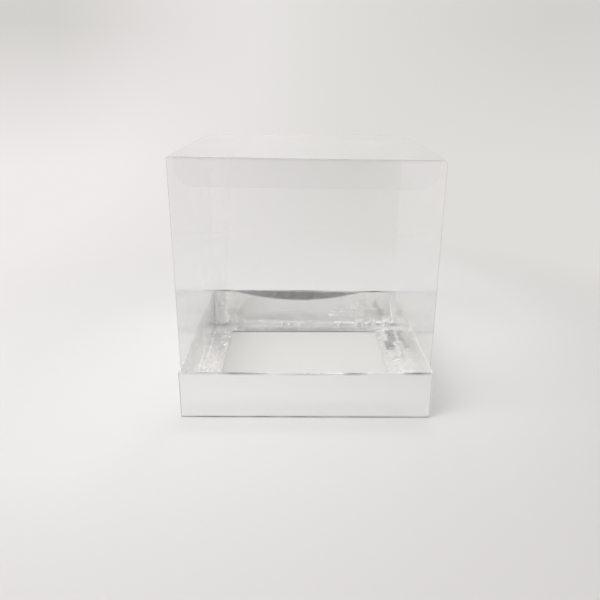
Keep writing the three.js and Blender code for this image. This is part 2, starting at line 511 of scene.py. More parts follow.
def sheet_wave_tree():
    """A tree that moves a sheet along its normals by a seeded noise."""
    name = "Sheet waves"
    if name in bpy.data.node_groups:
        return bpy.data.node_groups[name]
    tree = bpy.data.node_groups.new(name, "GeometryNodeTree")
    plan = {"Geometry": "Geometry", "Wave Depth": "Float", "Wave Size": "Float", "Seed": "Float",
            "Share": "String", "Finish": "Material"}
    for label, kind in plan.items():
        tree.interface.new_socket(name=label, in_out="INPUT", socket_type="NodeSocket" + kind)
    tree.interface.new_socket(name="Geometry", in_out="OUTPUT", socket_type="NodeSocketGeometry")
    given = tree.nodes.new("NodeGroupInput").outputs
    place = make_node(tree, "GeometryNodeInputPosition").outputs[0]
    scale = maths(tree, "DIVIDE", 1.0, given["Wave Size"])
    noise = make_node(
        tree, "ShaderNodeTexNoise",
        {"Vector": place, "W": given["Seed"], "Scale": scale, "Detail": 1.5},
        noise_dimensions="4D").outputs[0]
    both_ways = maths(tree, "MULTIPLY", maths(tree, "SUBTRACT", noise, 0.5), 2.0)
    share = make_node(
        tree, "GeometryNodeInputNamedAttribute", {"Name": given["Share"]},
        data_type="FLOAT").outputs[0]
    height = product(tree, both_ways, given["Wave Depth"], share)
    normal = make_node(tree, "GeometryNodeInputNormal").outputs[0]
    move = make_node(
        tree, "ShaderNodeVectorMath", {0: normal, "Scale": height}, operation="SCALE").outputs[0]
    moved = make_node(
        tree, "GeometryNodeSetPosition", {"Geometry": given["Geometry"], "Offset": move})
    real = make_node(tree, "GeometryNodeRealizeInstances", {"Geometry": moved.outputs[0]})
    finished = make_node(
        tree, "GeometryNodeSetMaterial",
        {"Geometry": real.outputs[0], "Material": given["Finish"]})
    result = tree.nodes.new("NodeGroupOutput")
    tree.links.new(finished.outputs[0], result.inputs[0])
    return tree


def add_waves(made, share, depth, size, seed, finish):
    """Waves a sheet where its attribute named share is above 0."""
    tree = sheet_wave_tree()
    waves = made.modifiers.new("Waves", "NODES")
    waves.node_group = tree
    values = {
        "Wave Depth": depth, "Wave Size": size, "Seed": seed, "Share": share, "Finish": finish}
    for item in tree.interface.items_tree:
        if item.in_out == "INPUT" and item.name in values:
            waves[item.identifier] = values[item.name]
    apply_modifiers(made)


# Materials

def make_node(tree, kind, inputs=None, **settings):
    """A node with its settings, and with its inputs set or linked."""
    made = tree.nodes.new(kind)
    made.location.x = 200 * len(tree.nodes)
    for setting, value in settings.items():
        setattr(made, setting, value)
    for socket, value in (inputs or {}).items():
        if isinstance(value, bpy.types.NodeSocket):
            tree.links.new(value, made.inputs[socket])
        else:
            made.inputs[socket].default_value = value
    return made


def start_material(name):
    """An empty material, its node tree and the Object coordinates in it."""
    made = bpy.data.materials.new(name)
    made.use_nodes = True
    made.node_tree.nodes.clear()
    place = make_node(made.node_tree, "ShaderNodeTexCoord").outputs["Object"]
    return made, made.node_tree, place


def end_material(tree, shader):
    output = tree.nodes.new("ShaderNodeOutputMaterial")
    tree.links.new(shader, output.inputs["Surface"])


def noise_at(tree, place, scale, detail=2.0):
    inputs = {"Vector": place, "Scale": scale, "Detail": detail}
    return make_node(tree, "ShaderNodeTexNoise", inputs).outputs[0]


def ranged(tree, value, low_in, high_in, low_out=0.0, high_out=1.0):
    inputs = {0: value, 1: low_in, 2: high_in, 3: low_out, 4: high_out}
    return make_node(tree, "ShaderNodeMapRange", inputs).outputs[0]


def eased(tree, value, start, end):
    """0 before start and 1 after end, with a smooth step between them."""
    inputs = {0: value, 1: start, 2: end}
    node = make_node(tree, "ShaderNodeMapRange", inputs, interpolation_type="SMOOTHSTEP")
    return node.outputs[0]


def maths(tree, operation, first, second, clamp=False):
    inputs = {0: first, 1: second}
    node = make_node(tree, "ShaderNodeMath", inputs, operation=operation, use_clamp=clamp)
    return node.outputs[0]


def product(tree, first, *others):
    for other in others:
        first = maths(tree, "MULTIPLY", first, other)
    return first


def blended(tree, share, first, second):
    """A colour between two colours."""
    node = make_node(tree, "ShaderNodeMix", {0: share, 6: first, 7: second}, data_type="RGBA")
    return node.outputs[2]


def attribute_of(tree, name):
    return make_node(tree, "ShaderNodeAttribute", attribute_name=name).outputs["Fac"]


def bumped(tree, height, strength, distance, normal=None):
    inputs = {"Height": height, "Strength": strength, "Distance": distance}
    if normal:
        inputs["Normal"] = normal
    return make_node(tree, "ShaderNodeBump", inputs).outputs[0]


def darker(colour, share):
    return (colour[0] * share, colour[1] * share, colour[2] * share, 1.0)


def foil_material(finish):
    """The silver face of the card: bright foil over paper, worn through along its folds, with
    painted shadow lines along the bottom fold and the rim, and patches painted darker as shade.
    """
    made, tree, place = start_material("Silver foil card")
    fibre = noise_at(tree, place, 900.0, 3.0)
    orange_peel = noise_at(tree, place, 260.0)
    cloud = noise_at(tree, place, 34.0)
    folded = attribute_of(tree, "fold_share")
    crack = ranged(tree, noise_at(tree, place, 1500.0), 0.6, 0.68)
    worn = product(tree, crack, ranged(tree, folded, 0.8, 1.0, 0.0, 0.3))
    patchy = ranged(tree, noise_at(tree, place, 42.0), 0.35, 0.65, 0.6, 1.0)
    # Painted shadow: dark lines along the bottom fold and parts of the rim, which also lose their
    # metal
    painted_shadow_line = product(tree, attribute_of(tree, "crack_share"), patchy)
    shade_and_rough = attribute_of(tree, "dull_share")
    bare_and_shadowed = maths(tree, "ADD", worn, painted_shadow_line)
    colour = blended(tree, cloud, darker(finish.foil_colour, 0.97), finish.foil_colour)
    # Painted shade: patches of foil painted darker, which are also made rougher below
    colour = blended(tree, shade_and_rough, colour, darker(finish.foil_colour, 0.25))
    colour = blended(tree, worn, colour, PAPER_UNDER_FOIL)
    # The near-black painted shadow of those lines
    colour = blended(tree, painted_shadow_line, colour, PAINTED_SHADOW)
    gloss = ranged(tree, orange_peel, 0.3, 0.7, 0.13, 0.2)
    matt = maths(tree, "ADD", bare_and_shadowed, product(tree, shade_and_rough, 0.4))
    satin_roughness = ranged(tree, folded, 0.1, 0.6, 0.11, 0.0)
    satin = product(tree, attribute_of(tree, "satin_share"), satin_roughness)
    rough = maths(tree, "ADD", gloss, maths(tree, "ADD", satin, product(tree, matt, 0.4)))
    metal = maths(tree, "SUBTRACT", 1.0, bare_and_shadowed, clamp=True)
    facet = maths(tree, "SUBTRACT", noise_at(tree, place, 330.0, 2.5), 0.5)
    facet = maths(tree, "ABSOLUTE", facet, 0.0)
    crumple = bumped(tree, product(tree, facet, folded), 1.0, CRUMPLE_DEPTH)
    peel = bumped(tree, orange_peel, 0.1, PEEL_DEPTH, crumple)
    grain = bumped(tree, fibre, 0.08, GRAIN_DEPTH, peel)
    shader = make_node(tree, "ShaderNodeBsdfPrincipled", {
        "Base Color": colour, "Metallic": metal, "Roughness": rough, "Normal": grain})
    end_material(tree, shader.outputs[0])
    return made


def card_material(name, colour):
    """Uncoated white card, with the faint cloud and fibre of paper."""
    made, tree, place = start_material(name)
    cloud = noise_at(tree, place, 70.0, 4.0)
    fibre = noise_at(tree, place, 1400.0, 4.0)
    mixed = maths(tree, "ADD", product(tree, cloud, 0.6), product(tree, fibre, 0.4))
    shade = blended(tree, mixed, darker(colour, 0.95), colour)
    rough = ranged(tree, fibre, 0.3, 0.7, 0.62, 0.8)
    shader = make_node(tree, "ShaderNodeBsdfPrincipled", {
        "Base Color": shade, "Roughness": rough, "Specular IOR Level": 0.35,
        "Normal": bumped(tree, fibre, 0.2, CARD_GRAIN_DEPTH)})
    end_material(tree, shader.outputs[0])
    return made


def film_material(name, finish, haze, body):
    """Clear film: it lets light through, mirrors more the flatter it is seen, and is a little
    hazy. haze is the share that never lets light through, and body how much of it is white."""
    made, tree, place = start_material(name)
    facing = make_node(tree, "ShaderNodeLayerWeight", {"Blend": 0.5}).outputs["Facing"]
    glancing = maths(tree, "POWER", facing, 5.0)
    mirror = product(tree, glancing, 1.0 - finish.film_gloss)
    mirror = maths(tree, "ADD", mirror, finish.film_gloss)
    cloud = noise_at(tree, place, 55.0, 3.0)
    specks = ranged(tree, noise_at(tree, place, 1100.0, 1.0), 0.76, 0.82, 0.0, 0.06)
    veil = maths(tree, "ADD", ranged(tree, cloud, 0.3, 0.8, 0.4 * haze, haze), specks)
    share = maths(tree, "ADD", mirror, veil, clamp=True)
    rough = ranged(tree, cloud, 0.3, 0.8, 0.16, 0.26)
    reflecting = make_node(tree, "ShaderNodeBsdfPrincipled", {
        "Base Color": (0.985, 0.985, 0.985, 1.0), "Metallic": 1.0 - body, "Roughness": rough,
        "Normal": bumped(tree, cloud, 0.03, FILM_WAVE_DEPTH)})
    tint = blended(tree, attribute_of(tree, "fold_share"), finish.film_tint, finish.fold_shade)
    mix_with_clear(tree, share, tint, reflecting)
    return made


def mix_with_clear(tree, share, tint, shader):
    """Ends a material that is clear, but for a share of another shader."""
    clear = make_node(tree, "ShaderNodeBsdfTransparent", {"Color": tint})
    inputs = {0: share, 1: clear.outputs[0], 2: shader.outputs[0]}
    end_material(tree, make_node(tree, "ShaderNodeMixShader", inputs).outputs[0])


def film_edge_material():
    """The cut edge of the film, where light gathers and the far side doesn't show."""
    made, tree, place = start_material("Film cut edge")
    cloud = noise_at(tree, place, 60.0)
    shade = blended(
        tree, ranged(tree, cloud, 0.35, 0.65), (0.5, 0.49, 0.49, 1.0), (0.7, 0.7, 0.7, 1.0))
    solid = make_node(tree, "ShaderNodeBsdfPrincipled", {
        "Base Color": shade, "Roughness": ranged(tree, cloud, 0.3, 0.7, 0.15, 0.3)})
    share = ranged(tree, cloud, 0.3, 0.7, 0.15, 0.5)
    mix_with_clear(tree, share, (0.9, 0.9, 0.9, 1.0), solid)
    return made


def finish_named(name):
    """The material of that name, made the first time it is asked for."""
    if name in bpy.data.materials:
        return bpy.data.materials[name]
    finish = bpy.context.scene.gift_box_finish
    makers = {
        "Silver foil card": lambda: foil_material(finish),
        "White card": lambda: card_material("White card", finish.card_colour),
        "Card cut edge": lambda: card_material("Card cut edge", darker(finish.card_colour, 0.97)),
        "Clear film": lambda: film_material("Clear film", finish, 0.006, 0.04),
        "Glued film": lambda: film_material("Glued film", finish, 0.1, 0.95),
        "Film cut edge": film_edge_material,
    }
    return makers[name]()


# The tray

def finish_card(made, back):
    """Gives a sheet of the tray its thickness, the finish of its back and its body."""
    thickness = bpy.context.scene.gift_box_tray.card_thickness
    give_thickness(made, thickness, finish_named(back), finish_named("Card cut edge"))
    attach(made, "tray")


def turned_to(side, sizes):
    """A function that takes a place along, inward and up on a side of the tray into the frame."""
    turn = Matrix.Rotation(TURNS[side], 4, "Z") @ Matrix.Translation((0, -sizes["reach"], 0))

    def placed(along, inward, up):
        return turn @ Vector((along, inward, up))

    return placed


def rim_slope(settings, side, along):
    """How far down the slope below a rim reaches. At the back it ends in an arc."""
    if side != "back":
        return 0.5 * settings.slope_depth
    share = (along - settings.slope_middle) / settings.slope_half
    return settings.slope_depth * max(0.0, 1 - share * share)


def lining_swell(settings, side, along, half, height):
    """How far inward the lining stands from its plane: it slopes inward below the rim, and
    comes back to the plane at its foot."""
    below = TRAY_HEIGHT - height
    reach = rim_slope(settings, side, along)
    sloped = (below + reach - math.hypot(below - reach, SLOPE_BEND)) / 2
    steepness = math.tan(math.radians(settings.slope_angle)) * (1.0 if side == "back" else 0.5)
    back_to_plane = 1 - smooth_step((below - reach) / (TRAY_HEIGHT - reach - CARD * 2))
    from_end = smooth_step((1 - abs(along) / half) / 0.1)
    swell = max(0.0, sloped) * steepness * back_to_plane * from_end
    for place, level, radius, depth in LINING_DENTS[side]:
        away = math.hypot(along - place * MM, height - level * MM) / (radius * MM)
        swell += depth * MM * fading(away) * smooth_step(below / DENT_EASE)
    return swell


def crumple_share(side, along, run):
    """How far the foil is crumpled at a place on the lining or the foot flap."""
    shares = [share * fading(math.hypot(along / MM - middle, run / MM - level) / radius)
              for middle, level, radius, share in FOIL_CRUMPLES[side]]
    return max(shares, default=0.0)


def dull_share(side, along, run):
    """How far the foil is painted darker, as shade, and made rougher at a place on the lining or
    the foot flap.
    """
    shares = [share * smooth_step((half_length - abs(along / MM - middle)) / (0.4 * half_width))
              * smooth_step((half_width - abs(run / MM - level)) / (0.4 * half_width))
              for middle, level, half_length, half_width, share in SHADED_ROUGH_PATCHES.get(side, [])]
    return max(shares, default=0.0)


def crack_share(side, along, part, up):
    """How dark the painted shadow lines are: a contact shadow along the bottom fold, and painted
    shadow along parts of the rim.
    """
    if up < TRAY_HEIGHT / 2:
        worst = 0.5 + 0.5 * bell(part) ** 0.25
        return worst * (1 - smooth_step((up - BOTTOM_SHADOW_REACH) / BOTTOM_SHADOW_FADE))
    on_rim = smooth_step((up - (TRAY_HEIGHT - RIM_SHADOW_REACH)) / RIM_SHADOW_FADE)
    spread = [share * bell((along / MM - middle) / half) ** 0.5
              for middle, half, share in RIM_SHADOW_LINES.get(side, [])]
    return on_rim * max(spread, default=0.0)


def folded_section(side, sizes, settings):
    """The section of one side of the tray, from the fold at the floor's edge, up the wall,
    over the rim, down the lining and along the foot flap.

    Each station is (inward, up, half length, fold share, slack, on the lining)."""
    fold = settings.fold_radius
    wall = CARD / 2
    top = TRAY_HEIGHT - CARD / 2
    lining = sizes["rim_depth"] - CARD / 2
    rim_fold = min((lining - wall) / 2, 0.75 * fold)
    wall_half = sizes["wall_half"]
    if side in ("front", "back"):
        wall_half -= CARD * 1.5 + TAB_FOLD
    rim_half = sizes["rim_half"]
    lining_half = sizes["lining_half"]
    corner = sizes["foot_half"] + sizes["rim_depth"]
    bend = top - rim_fold
    wall_foot = (wall, CARD / 2 + fold)
    foot_end = (sizes["foot_depth"], LEDGE)
    stations = []
    for inward, up in arc((wall + fold, CARD / 2 + fold), fold, 270, 180):
        stations.append((inward, up, wall_half, 0.0, 0.0, False))
    for inward, up in inset_run(wall_foot, (wall, bend), WALL_STEP, WALL_MARGIN):
        stations.append((inward, up, wall_half, 0.0, 0.4, False))
    for inward, up in arc((wall + rim_fold, bend), rim_fold, 180, 90):
        half = wall_half + (rim_half - wall_half) * (up - bend) / rim_fold
        stations.append((inward, up, half, 0.0, 0.0, False))
    for inward, up in arc((lining - rim_fold, bend), rim_fold, 90, 0):
        half = lining_half + (rim_half - lining_half) * (up - bend) / rim_fold
        stations.append((inward, up, half, 0.0, 0.0, True))
    for inward, up in straight((lining, bend), (lining, LEDGE + fold), CARD_STEP):
        near_foot = fading((up - LEDGE) / CRINKLES_UP)
        stations.append((inward, up, lining_half, near_foot, 1.0, True))
    for inward, up in arc((lining + fold, LEDGE + fold), fold, 180, 270):
        stations.append((inward, up, min(lining_half, corner - inward), 1.0, 0.0, True))
    for inward, up in straight((lining + fold, LEDGE), foot_end, CARD_STEP) + [foot_end]:
        near_fold = fading((inward - lining) / CRINKLES_INWARD)
        stations.append((inward, up, min(lining_half, corner - inward), near_fold, 0.6, True))
    return stations


def make_tray_side(side):
    """One side of the tray, folded from a single strip of card."""
    settings = bpy.context.scene.gift_box_tray
    sizes = side_sizes(side)
    placed = turned_to(side, sizes)
    foot_width = sizes["foot_depth"] - sizes["rim_depth"]
    rows = []
    names = ("fold_share", "slack", "crack_share", "dull_share", "satin_share")
    shares = {name: [] for name in names}
    for inward, up, half, fold_share, slack, on_lining in folded_section(side, sizes, settings):
        row = []
        for part in spaced(-1, 1, 2 / SIDE_COLUMNS):
            along = part * half
            rise = up / TRAY_HEIGHT
            sag = settings.rim_sag * RIM_SAG_SHARE.get(side, 0.0) * bell(part) * rise
            if side == "back":
                sag -= settings.rim_lift * smooth_step((part + 0.6) / 1.1) * rise
            swell = crumple = shade_and_rough = satin = lift = near_end = 0.0
            if on_lining:
                run = up - LEDGE - inward + sizes["rim_depth"]
                crumple = crumple_share(side, along, run)
                # How far the foil here is painted darker, as shade, and made rougher
                shade_and_rough = dull_share(side, along, run)
                satin = SATIN_SHARE.get(side, 0.0)
                free = max(0.0, inward - sizes["rim_depth"]) / foot_width
                more = FOOT_LIFT_MORE.get(side, 0.0) * bell(part) ** 0.5
                lift = settings.foot_lift * free * (free + more)
                if up > LEDGE:
                    swell = lining_swell(settings, side, along, half, up)
                if rise < 0.9:
                    near_end = smooth_step((abs(part) - 0.93) / 0.07)
            row.append(placed(along, inward + swell, up - sag + lift))
            inside = on_lining and rise < 0.5
            shares["fold_share"].append(max(fold_share, 0.5 * near_end, crumple))
            shares["slack"].append(slack * smooth_step((1 - abs(part)) / 0.08))
            # Painted shadow lines along the bottom fold and rim, and patches of foil painted
            # darker as shade
            shares["crack_share"].append(0.0 if inside else crack_share(side, along, part, up))
            shares["dull_share"].append(shade_and_rough)
            shares["satin_share"].append(satin)
        rows.append(row)
    made = grid_object(f"{side}_side", rows, shares)
    foil = finish_named("Silver foil card")
    seed = 3.0 + 2.0 * list(TURNS).index(side)
    add_waves(made, "slack", settings.wave_depth, settings.wave_size, seed, foil)
    add_waves(made, "fold_share", settings.crinkle_depth, settings.crinkle_size, seed, foil)
    finish_card(made, "White card")
    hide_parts(*[f"tray_{side}_{part}" for part in ("wall", "rim", "lining", "foot")])


class GIFTBOX_OT_tray_sides(bpy.types.Operator):
    """Fold the four sides of the tray, each with its wall, rim, lining and foot flap"""

    bl_idname = "giftbox.tray_sides"
    bl_label = "Tray sides"

    def execute(self, context):
        for side in TURNS:
            make_tray_side(side)
        return {"FINISHED"}


class GIFTBOX_OT_tray_floor(bpy.types.Operator):
    """Lay the floor of the tray, white side up and silver side down"""

    bl_idname = "giftbox.tray_floor"
    bl_label = "Tray floor"

    def execute(self, context):
        settings = context.scene.gift_box_tray
        half = high("tray_floor").x - settings.fold_radius + CARD / 2
        places = spaced(-half, half, FLOOR_STEP)
        rows = []
        slack = []
        for across in places:
            slacks = [bell(across / half) * bell(along / half) for along in places]
            lifts = [CARD / 2 + share * settings.wave_depth / 3 for share in slacks]
            rows.append([Vector((along, across, up)) for along, up in zip(places, lifts)])
            slack += slacks
        made = grid_object("tray_floor_sheet", rows, {"slack": slack})
        add_waves(made, "slack", settings.wave_depth, settings.wave_size, 21.0,
                  finish_named("White card"))
        finish_card(made, "Silver foil card")
        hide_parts("tray_floor")
        return {"FINISHED"}


def make_corner_tab(end, side):
    """A tab that comes round from the end of the front or back wall, between a side wall and
    its lining."""
    name = f"{end}_{side}_tab"
    box_low, box_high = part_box(f"tray_{name}")
    sideways = 1 if side == "right" else -1
    outward = 1 if end == "back" else -1
    face = max(abs(box_low.x), abs(box_high.x)) - CARD / 2
    root = side_sizes(end)["reach"] - CARD / 2
    tip = min(abs(box_low.y), abs(box_high.y))
    middle = (box_low.z + box_high.z) / 2
    tall = (box_high.z - box_low.z) / 2
    path = arc((face - TAB_FOLD, root - TAB_FOLD), TAB_FOLD, 90, 0)
    path += straight(path[-1], (face, tip), TAB_STEP) + [(face, tip)]
    rows = []
    for along, out in path:
        left_over = out - tip
        taper = TAB_TAPER * (1 - left_over / (root - tip))
        half = tall - taper - rounded_tip(left_over, TAB_ROUNDING)
        rows.append([Vector((sideways * along, outward * out, middle + half * part))
                     for part in spaced(-1, 1, 0.1)])
    if sideways * outward < 0:
        rows.reverse()
    made = grid_object(f"{name}_sheet", rows, {})
    made.data.materials.append(finish_named("Silver foil card"))
    finish_card(made, "White card")
    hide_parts(f"tray_{name}")


class GIFTBOX_OT_corner_tabs(bpy.types.Operator):
    """Fold the four corner tabs in behind the side walls"""

    bl_idname = "giftbox.corner_tabs"
    bl_label = "Corner tabs"

    def execute(self, context):
        for end in ("front", "back"):
            for side in ("left", "right"):
                make_corner_tab(end, side)
        return {"FINISHED"}


# The cover

def settled(point):
    """Moves a point with the slack of the whole cover: its front stands a little wider at the
    top, and its right front corner is low."""
    settings = bpy.context.scene.gift_box_cover
    to_right = (point.x / HALF_WIDTH + 1) / 2
    slack = (1 - point.y / HALF_DEPTH) / 2 * point.z / COVER_TOP
    spread = settings.front_spread * slack * point.x / HALF_WIDTH
    return Vector((point.x + spread, point.y, point.z - settings.front_drop * to_right * slack))


def film_give(side, along, half, height):
    """How far the foot of a film panel is pressed inward by the swollen lining."""
    tray = bpy.context.scene.gift_box_tray
    share = 1.0 if side == "back" else 0.25
    push = share * tray.slope_depth * math.tan(math.radians(tray.slope_angle))
    spring = 1 - smooth_step((height / TRAY_HEIGHT - 0.8) / 1.6)
    return push * bell(along / half) * spring


def finish_film(made, seed, ripple, body, finish="Clear film"):
    """Ripples a sheet of film and gives it its thickness."""
    settings = bpy.context.scene.gift_box_cover
    depth = ripple * settings.ripple_depth
    add_waves(made, "slack", depth, settings.ripple_size, seed, finish_named(finish))
    give_thickness(
        made, settings.film_thickness, finish_named(finish), finish_named("Film cut edge"))
    if body:
        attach(made, body)


def sleeve_plan(radius):
    """The sleeve seen from above, from the back left corner round by the front.

    Each station is (x, y, panel, fold share)."""
    across = HALF_WIDTH - radius
    deep = HALF_DEPTH - radius
    corners = [
        ((-across, deep), 90, "left", 0.0),
        ((-across, -deep), 180, "front", 1.0),
        ((across, -deep), 270, "right", 1.0),
        ((across, deep), 360, "back", 0.1),
    ]
    stations = []
    for index, (centre, angle, panel, fold) in enumerate(corners):
        turn = arc(centre, radius, angle, angle + 90, 6)
        stations += [(x, y, panel, fold) for x, y in turn]
        following, start_angle = corners[(index + 1) % 4][:2]
        end = arc(following, radius, start_angle, start_angle, 1)[0]
        run = inset_run(turn[-1], end, SLEEVE_STEP, FOLD_MARGIN)
        stations += [(x, y, panel, 0.0) for x, y in run]
    stations.append((*stations[0][:2], "back", 0.0))
    return stations


def pressed(x, y, panel, height):
    """A place on the sleeve, pressed inward by the lining near the foot."""
    across = x if panel in ("front", "back") else y
    half = HALF_WIDTH if panel in ("front", "back") else HALF_DEPTH
    give = film_give(panel, across, half, height)
    inward = {"front": (0, 1), "back": (0, -1), "left": (1, 0), "right": (-1, 0)}[panel]
    return Vector((x + inward[0] * give, y + inward[1] * give, height))


def panel_top(panel, radius):
    """The height at which each panel of the sleeve ends, or turns into its flap."""
    if panel == "front":
        return FRONT_TOP
    return (LID_LEVEL if panel == "back" else DUST_LEVEL) - radius


class GIFTBOX_OT_sleeve(bpy.types.Operator):
    """Fold the sleeve of the cover from one sheet, with its seam flap glued in at the back"""

    bl_idname = "giftbox.sleeve"
    bl_label = "Sleeve"

    def execute(self, context):
        settings = context.scene.gift_box_cover
        radius = settings.corner_radius
        stations = sleeve_plan(radius)
        rows = []
        shares = {"fold_share": [], "slack": []}
        for level in spaced(0, 1, 1 / SLEEVE_ROWS):
            row = []
            for x, y, panel, fold in stations:
                top = panel_top(panel, radius)
                height = COVER_FOOT + (top - COVER_FOOT) * level
                row.append(settled(pressed(x, y, panel, height)))
                across = x if panel in ("front", "back") else y
                shares["fold_share"].append(fold)
                slack = bell(across / HALF_WIDTH) ** 0.5 * smooth_step((1 - level) / 0.1)
                shares["slack"].append(slack)
            rows.append(row)
        made = grid_object("cover_sleeve", rows, shares)
        merge_doubles(made)
        finish_film(made, 31.0, 1.0, "cover")
        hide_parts("cover_front", "cover_back", "cover_left", "cover_right")
        make_seam_flap(radius)
        return {"FINISHED"}


def make_seam_flap(radius):
    """The seam flap, hazy with glue, with its free edge leaning as it was cut."""
    flap_low, flap_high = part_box("cover_seam_flap")
    face = HALF_DEPTH - FILM
    head = flap_high.x + HALF_WIDTH
    start = -HALF_WIDTH + radius
    rows = []
    for level in spaced(0, 1, 1 / SLEEVE_ROWS):
        height = flap_low.z + (flap_high.z - flap_low.z) * level
        edge = -HALF_WIDTH + SEAM_FOOT + (head - SEAM_FOOT) * level
        run = spaced(edge, start, (edge - start) / 12)
        rows.append([settled(pressed(x, face, "back", height)) for x in run])
    flat = [0.0] * len(rows) * len(rows[0])
    made = grid_object("seam_flap", rows, {"fold_share": flat, "slack": flat})
    finish_film(made, 33.0, 0.0, "cover", finish="Glued film")
    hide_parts("cover_seam_flap")


class GIFTBOX_OT_lid_and_flaps(bpy.types.Operator):
    """Make the lid, the tuck flap at its front and the two dust flaps under it"""

    bl_idname = "giftbox.lid_and_flaps"
    bl_label = "Lid and flaps"

    def execute(self, context):
        radius = context.scene.gift_box_cover.corner_radius
        make_lid(radius)
        make_tuck_flap()
        for side in ("left", "right"):
            make_dust_flap(side, radius)
        return {"FINISHED"}


def rounded_tip(from_tip, radius):
    """How much narrower a flap is near its tip, where its two corners are rounded."""
    if from_tip >= radius:
        return 0.0
    return radius - math.sqrt(max(0.0, radius ** 2 - (radius - from_tip) ** 2))


def make_flap(node, profile, half_at, rounding, crease, placed=lambda *place: Vector(place)):
    """The sheet of a flap, through (place, up) stations from its crease to its rounded tip.

    half_at gives its half width at each distance along its length, crease is how long the
    crease is and how far it is whitened, and placed takes along, place and up into the frame."""
    length = sum(math.dist(first, second) for first, second in zip(profile, profile[1:]))
    crease_length, whitening = crease
    parts = spaced(-1, 1, 0.04)
    rows = []
    shares = {"fold_share": [], "slack": []}
    run = 0.0
    before = profile[0]
    for station in profile:
        run += math.dist(before, station)
        before = station
        half = half_at(run, length) - rounded_tip(length - run, rounding)
        slack = smooth_step((run - crease_length) / FLAP_EASE)
        rows.append([settled(placed(part * half, *station)) for part in parts])
        shares["fold_share"] += [whitening if run < crease_length else 0.0] * len(parts)
        shares["slack"] += [slack * bell(part) ** 0.5 for part in parts]
    return grid_object(f"{node}_sheet", rows, shares)


def make_lid(radius):
    """The lid, with the crease that joins it to the back panel."""
    crease = arc((HALF_DEPTH - radius, LID_LEVEL - radius), radius, 0, 90)
    front = (LID_FRONT, LID_LEVEL)
    profile = crease + straight(crease[-1], front, LID_STEP) + [front]
    made = make_flap(
        "lid", profile, lambda run, length: high("lid").x, LID_ROUNDING, (1.5 * radius, 0.3))
    finish_film(made, 37.0, 1.2, None)
    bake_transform(made)
    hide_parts("lid")


def make_tuck_flap():
    """The tuck flap, with the crease that joins it to the lid."""
    flap_low, flap_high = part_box("tuck_flap")
    outer = LID_FRONT - TUCK_FOLD
    start = LID_LEVEL - TUCK_FOLD
    crease = arc((LID_FRONT, start), TUCK_FOLD, 90, 180)
    tip = (outer + flap_high.y - flap_low.y - FILM, flap_low.z)
    profile = crease + straight(crease[-1], tip, FLAP_STEP) + [tip]
    made = make_flap(
        "tuck_flap", profile, lambda run, length: flap_high.x - TUCK_TAPER * run / length,
        TUCK_ROUNDING, (1.6 * TUCK_FOLD, 0.5))
    finish_film(made, 39.0, 0.8, None)
    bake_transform(made)
    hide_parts("tuck_flap")


def make_dust_flap(side, radius):
    """A dust flap, with the crease that joins it to its side panel."""
    node = f"dust_flap_{side}"
    flap_low, flap_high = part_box(node)
    sideways = 1 if side == "right" else -1
    tip = (min(abs(flap_low.x), abs(flap_high.x)), DUST_LEVEL)
    crease = arc((HALF_WIDTH - radius, DUST_LEVEL - radius), radius, 0, 90)
    profile = crease + straight(crease[-1], tip, FLAP_STEP) + [tip]
    made = make_flap(
        node, profile, lambda run, length: flap_high.y - min(run, DUST_SHOULDER), DUST_ROUNDING,
        (1.5 * radius, 0.3),
        lambda along, place, up: Vector((sideways * place, sideways * along, up)))
    finish_film(made, 41.0 + sideways, 0.8, None)
    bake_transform(made)
    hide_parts(node)


# The stage

def backdrop_tone(tree, place, settings):
    """The tone and the strength of the far paper, which glows: painted lighter on the left, nearer
    the lamp, and painted darker in its upper corners, as shade. For mirrors only it also paints
    reflections: a glowing window on each side, a bright wall in front on the right, and painted
    shade for the dim lower part of the room in front."""
    across, deep, up = make_node(tree, "ShaderNodeSeparateXYZ", {0: place}).outputs
    off_middle = maths(tree, "ABSOLUTE", across, 0.0)
    # Painted light: lighter on the left, nearer the lamp
    to_right = ranged(tree, across, *LEFT_TO_RIGHT)
    tone = blended(tree, to_right, settings.left_tone, settings.right_tone)
    # Painted shade: the upper corners are painted darker
    corners = product(tree, ranged(tree, off_middle, *CORNERS_OUT), ranged(tree, up, *CORNERS_UP))
    tone = blended(tree, corners, tone, settings.corner_tone)
    path = make_node(tree, "ShaderNodeLightPath").outputs
    lighting = maths(tree, "MAXIMUM", path["Is Camera Ray"], path["Diffuse Depth"])
    mirrored = maths(tree, "SUBTRACT", 1.0, lighting, clamp=True)
    near = ranged(tree, deep, *FRONT_WALL, 1.0, 0.0)
    # Painted reflection: a bright wall in front on the right, for mirrors only
    bright = product(tree, near, ranged(tree, across, *FRONT_RIGHT), mirrored)
    tone = blended(tree, bright, tone, settings.front_tone)
    below = ranged(tree, up, *DIM_TOP, 1.0, 0.0)
    middle = ranged(tree, off_middle, *DIM_SIDES, 1.0, 0.0)
    # Painted shade: the dim lower part of the room in front, for mirrors only
    tone = blended(tree, product(tree, near, below, middle, mirrored), tone, settings.dim_colour)
    # Painted reflections: a glowing window on each side, for mirrors only
    painted_windows = product(
        tree, ranged(tree, off_middle, *WINDOW_SIDES), ranged(tree, deep, *WINDOW_BEHIND),
        ranged(tree, up, *WINDOW_SILL), ranged(tree, up, *WINDOW_HEAD, 1.0, 0.0))
    extra = product(tree, painted_windows, mirrored, settings.painted_window_strength)
    return tone, maths(tree, "ADD", extra, 1.0)


